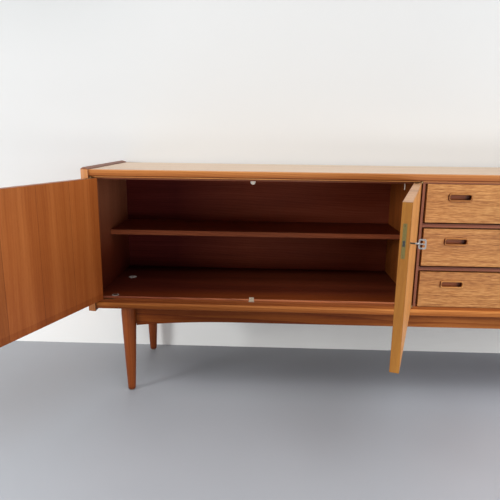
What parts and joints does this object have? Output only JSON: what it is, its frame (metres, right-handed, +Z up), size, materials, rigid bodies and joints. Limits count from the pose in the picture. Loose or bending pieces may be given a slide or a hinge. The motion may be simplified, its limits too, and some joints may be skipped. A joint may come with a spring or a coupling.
{
  "type": "sideboard",
  "caption": "Long low teak-look sideboard on turned legs: hinged cupboard doors with a lock, shelves, and a bank of drawers with moulded finger pulls, between side panels that stand proud.",
  "frame": {"origin": "on the floor, at the centre of the four feet", "axes": "+X along the length, to the right as seen from the front; +Y from the front to the back; +Z up"},
  "size_m": [2.2824, 0.9353, 0.7905],
  "materials": {
    "teak_case": "oiled teak veneer with a straight grain",
    "teak_lip": "oiled solid teak",
    "teak_trim": "oiled solid teak, darker",
    "teak_inside": "dark stained veneer",
    "teak_door": "oiled teak veneer with an upright grain",
    "teak_drawer": "oiled teak veneer with a level grain",
    "teak_pull": "oiled solid teak, carved",
    "teak_base": "oiled solid teak",
    "drawer_wood": "sealed pale hardwood",
    "drawer_ply": "sealed plywood",
    "hinge_brass": "dull",
    "lock_brass": "aged",
    "fitting_steel": "plain",
    "key_steel": "nickel plated",
    "fitting_plastic": "smooth",
    "cap_plastic": "smooth",
    "glide_plastic": "smooth"
  },
  "bodies": {
    "carcass": {"side_left": "teak_case", "side_right": "teak_case", "top_panel": "teak_case", "top_lip": "teak_lip", "bottom_lip": "teak_lip", "top_stops": "teak_trim", "partition_edging": "teak_trim", "drawer_rails": "teak_trim", "bottom_panel": "teak_inside", "partition_left": "teak_inside", "partition_right": "teak_inside", "back_panel": "teak_inside", "shelf_left": "teak_inside", "shelf_right": "teak_inside", "leg_front_left": "teak_base", "leg_front_right": "teak_base", "leg_back_left": "teak_base", "leg_back_right": "teak_base", "apron_front": "teak_base", "apron_back": "teak_base", "end_rails": "teak_base", "bearers": "teak_base", "drawer_runners": "drawer_wood", "hinge_leaves": "hinge_brass", "shelf_pins": "hinge_brass", "catch_poles": "fitting_steel", "catch_top": "fitting_plastic", "catch_bottom": "fitting_plastic", "door_buffer": "fitting_plastic", "floor_cap": "cap_plastic", "glides": "glide_plastic"},
    "door_left": {"door_left": "teak_door", "hinge_left": "hinge_brass", "strike_left": "fitting_steel", "keeper_left": "lock_brass"},
    "door_right": {"door_right": "teak_door", "hinge_right": "hinge_brass", "strike_right": "fitting_steel", "lock_right": "lock_brass", "liner_right": "lock_brass"},
    "bolt_right": {"bolt_right": "fitting_steel"},
    "key": {"key": "key_steel"},
    "door_far": {"door_far": "teak_door", "hinge_far": "hinge_brass", "strike_far": "fitting_steel", "lock_far": "lock_brass", "liner_far": "lock_brass"},
    "bolt_far": {"bolt_far": "fitting_steel"},
    "drawer_1": {"drawer_front_1": "teak_drawer", "drawer_box_1": "drawer_wood", "drawer_base_1": "drawer_ply", "pulls_1": "teak_pull"},
    "drawer_2": {"drawer_front_2": "teak_drawer", "drawer_box_2": "drawer_wood", "drawer_base_2": "drawer_ply", "pulls_2": "teak_pull"},
    "drawer_3": {"drawer_front_3": "teak_drawer", "drawer_box_3": "drawer_wood", "drawer_base_3": "drawer_ply", "pulls_3": "teak_pull"}
  },
  "joints": [
    {"name": "door_left_hinge", "type": "hinge", "parent": "carcass", "child": "door_left", "pos_m": [-1.043, -0.2365, 0.559], "axis": [0, 0, 1], "range_deg": [-24, 109]},
    {"name": "door_right_hinge", "type": "hinge", "parent": "carcass", "child": "door_right", "pos_m": [-0.008, -0.2365, 0.559], "axis": [0, 0, -1], "range_deg": [-88, 71.7]},
    {"name": "door_far_hinge", "type": "hinge", "parent": "carcass", "child": "door_far", "pos_m": [1.043, -0.2365, 0.559], "axis": [0, 0, -1], "range_deg": [-133, 0]},
    {"name": "bolt_right_slide", "type": "slide", "parent": "door_right", "child": "bolt_right", "axis": [-0.314, -0.9494, 0], "range_m": [0, 0.0065]},
    {"name": "key_turn", "type": "hinge", "parent": "door_right", "child": "key", "pos_m": [-0.1748, -0.69881, 0.663], "axis": [-0.9494, 0.314, 0], "range_deg": [0, 90]},
    {"name": "bolt_far_slide", "type": "slide", "parent": "door_far", "child": "bolt_far", "axis": [-1, 0, 0], "range_m": [0, 0.0065]},
    {"name": "drawer_1_slide", "type": "slide", "parent": "carcass", "child": "drawer_1", "axis": [0, -1, 0], "range_m": [0, 0.33]},
    {"name": "drawer_2_slide", "type": "slide", "parent": "carcass", "child": "drawer_2", "axis": [0, -1, 0], "range_m": [0, 0.33]},
    {"name": "drawer_3_slide", "type": "slide", "parent": "carcass", "child": "drawer_3", "axis": [0, -1, 0], "range_m": [0, 0.33]}
  ],
  "couplings": [
    {"joint": "bolt_right_slide", "follows": "key_turn", "m_per_rad": 0.004138}
  ]
}
